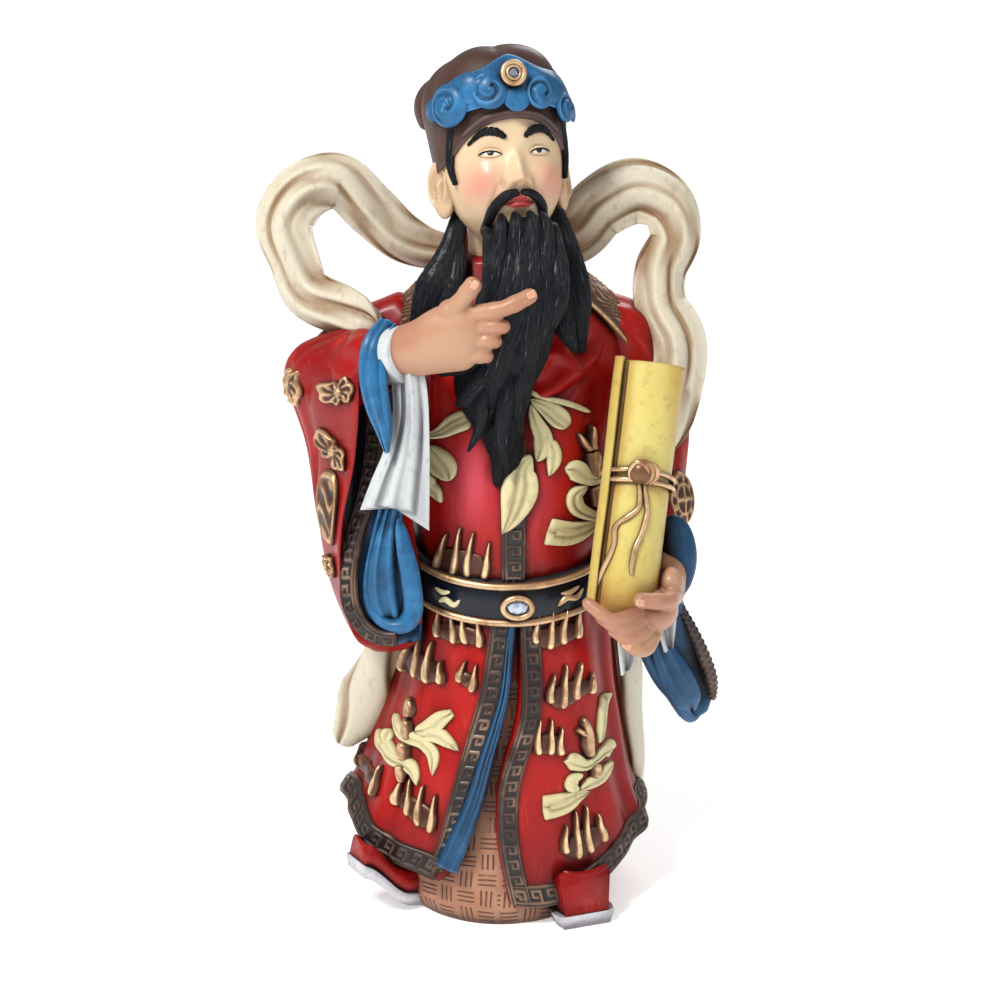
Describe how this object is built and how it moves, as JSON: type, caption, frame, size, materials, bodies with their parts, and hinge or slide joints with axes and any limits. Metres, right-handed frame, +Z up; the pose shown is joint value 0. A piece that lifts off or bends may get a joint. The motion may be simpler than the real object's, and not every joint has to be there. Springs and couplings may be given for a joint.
{
  "type": "lu xing figure",
  "caption": "Painted cast figure of a bearded court official in a wide robe, a hand at the beard and a tied scroll at the side, with a scarf in open loops behind the shoulders.",
  "frame": {"origin": "on the flat underside, below the middle of the body", "axes": "+Z up, the figure faces -Y, and +X is to the right of someone who looks at its front"},
  "size_m": [0.1589, 0.1093, 0.2982],
  "materials": {
    "painted_casting": "hand-painted cast resin: glossy red robe, blue, cream, black, brown and bronze paint, with a dark wash in the hollows",
    "clear_stone": "clear faceted rhinestone"
  },
  "bodies": {
    "root": {"figure": "painted_casting", "cap_stone": "clear_stone", "belt_stone": "clear_stone"}
  },
  "joints": []
}
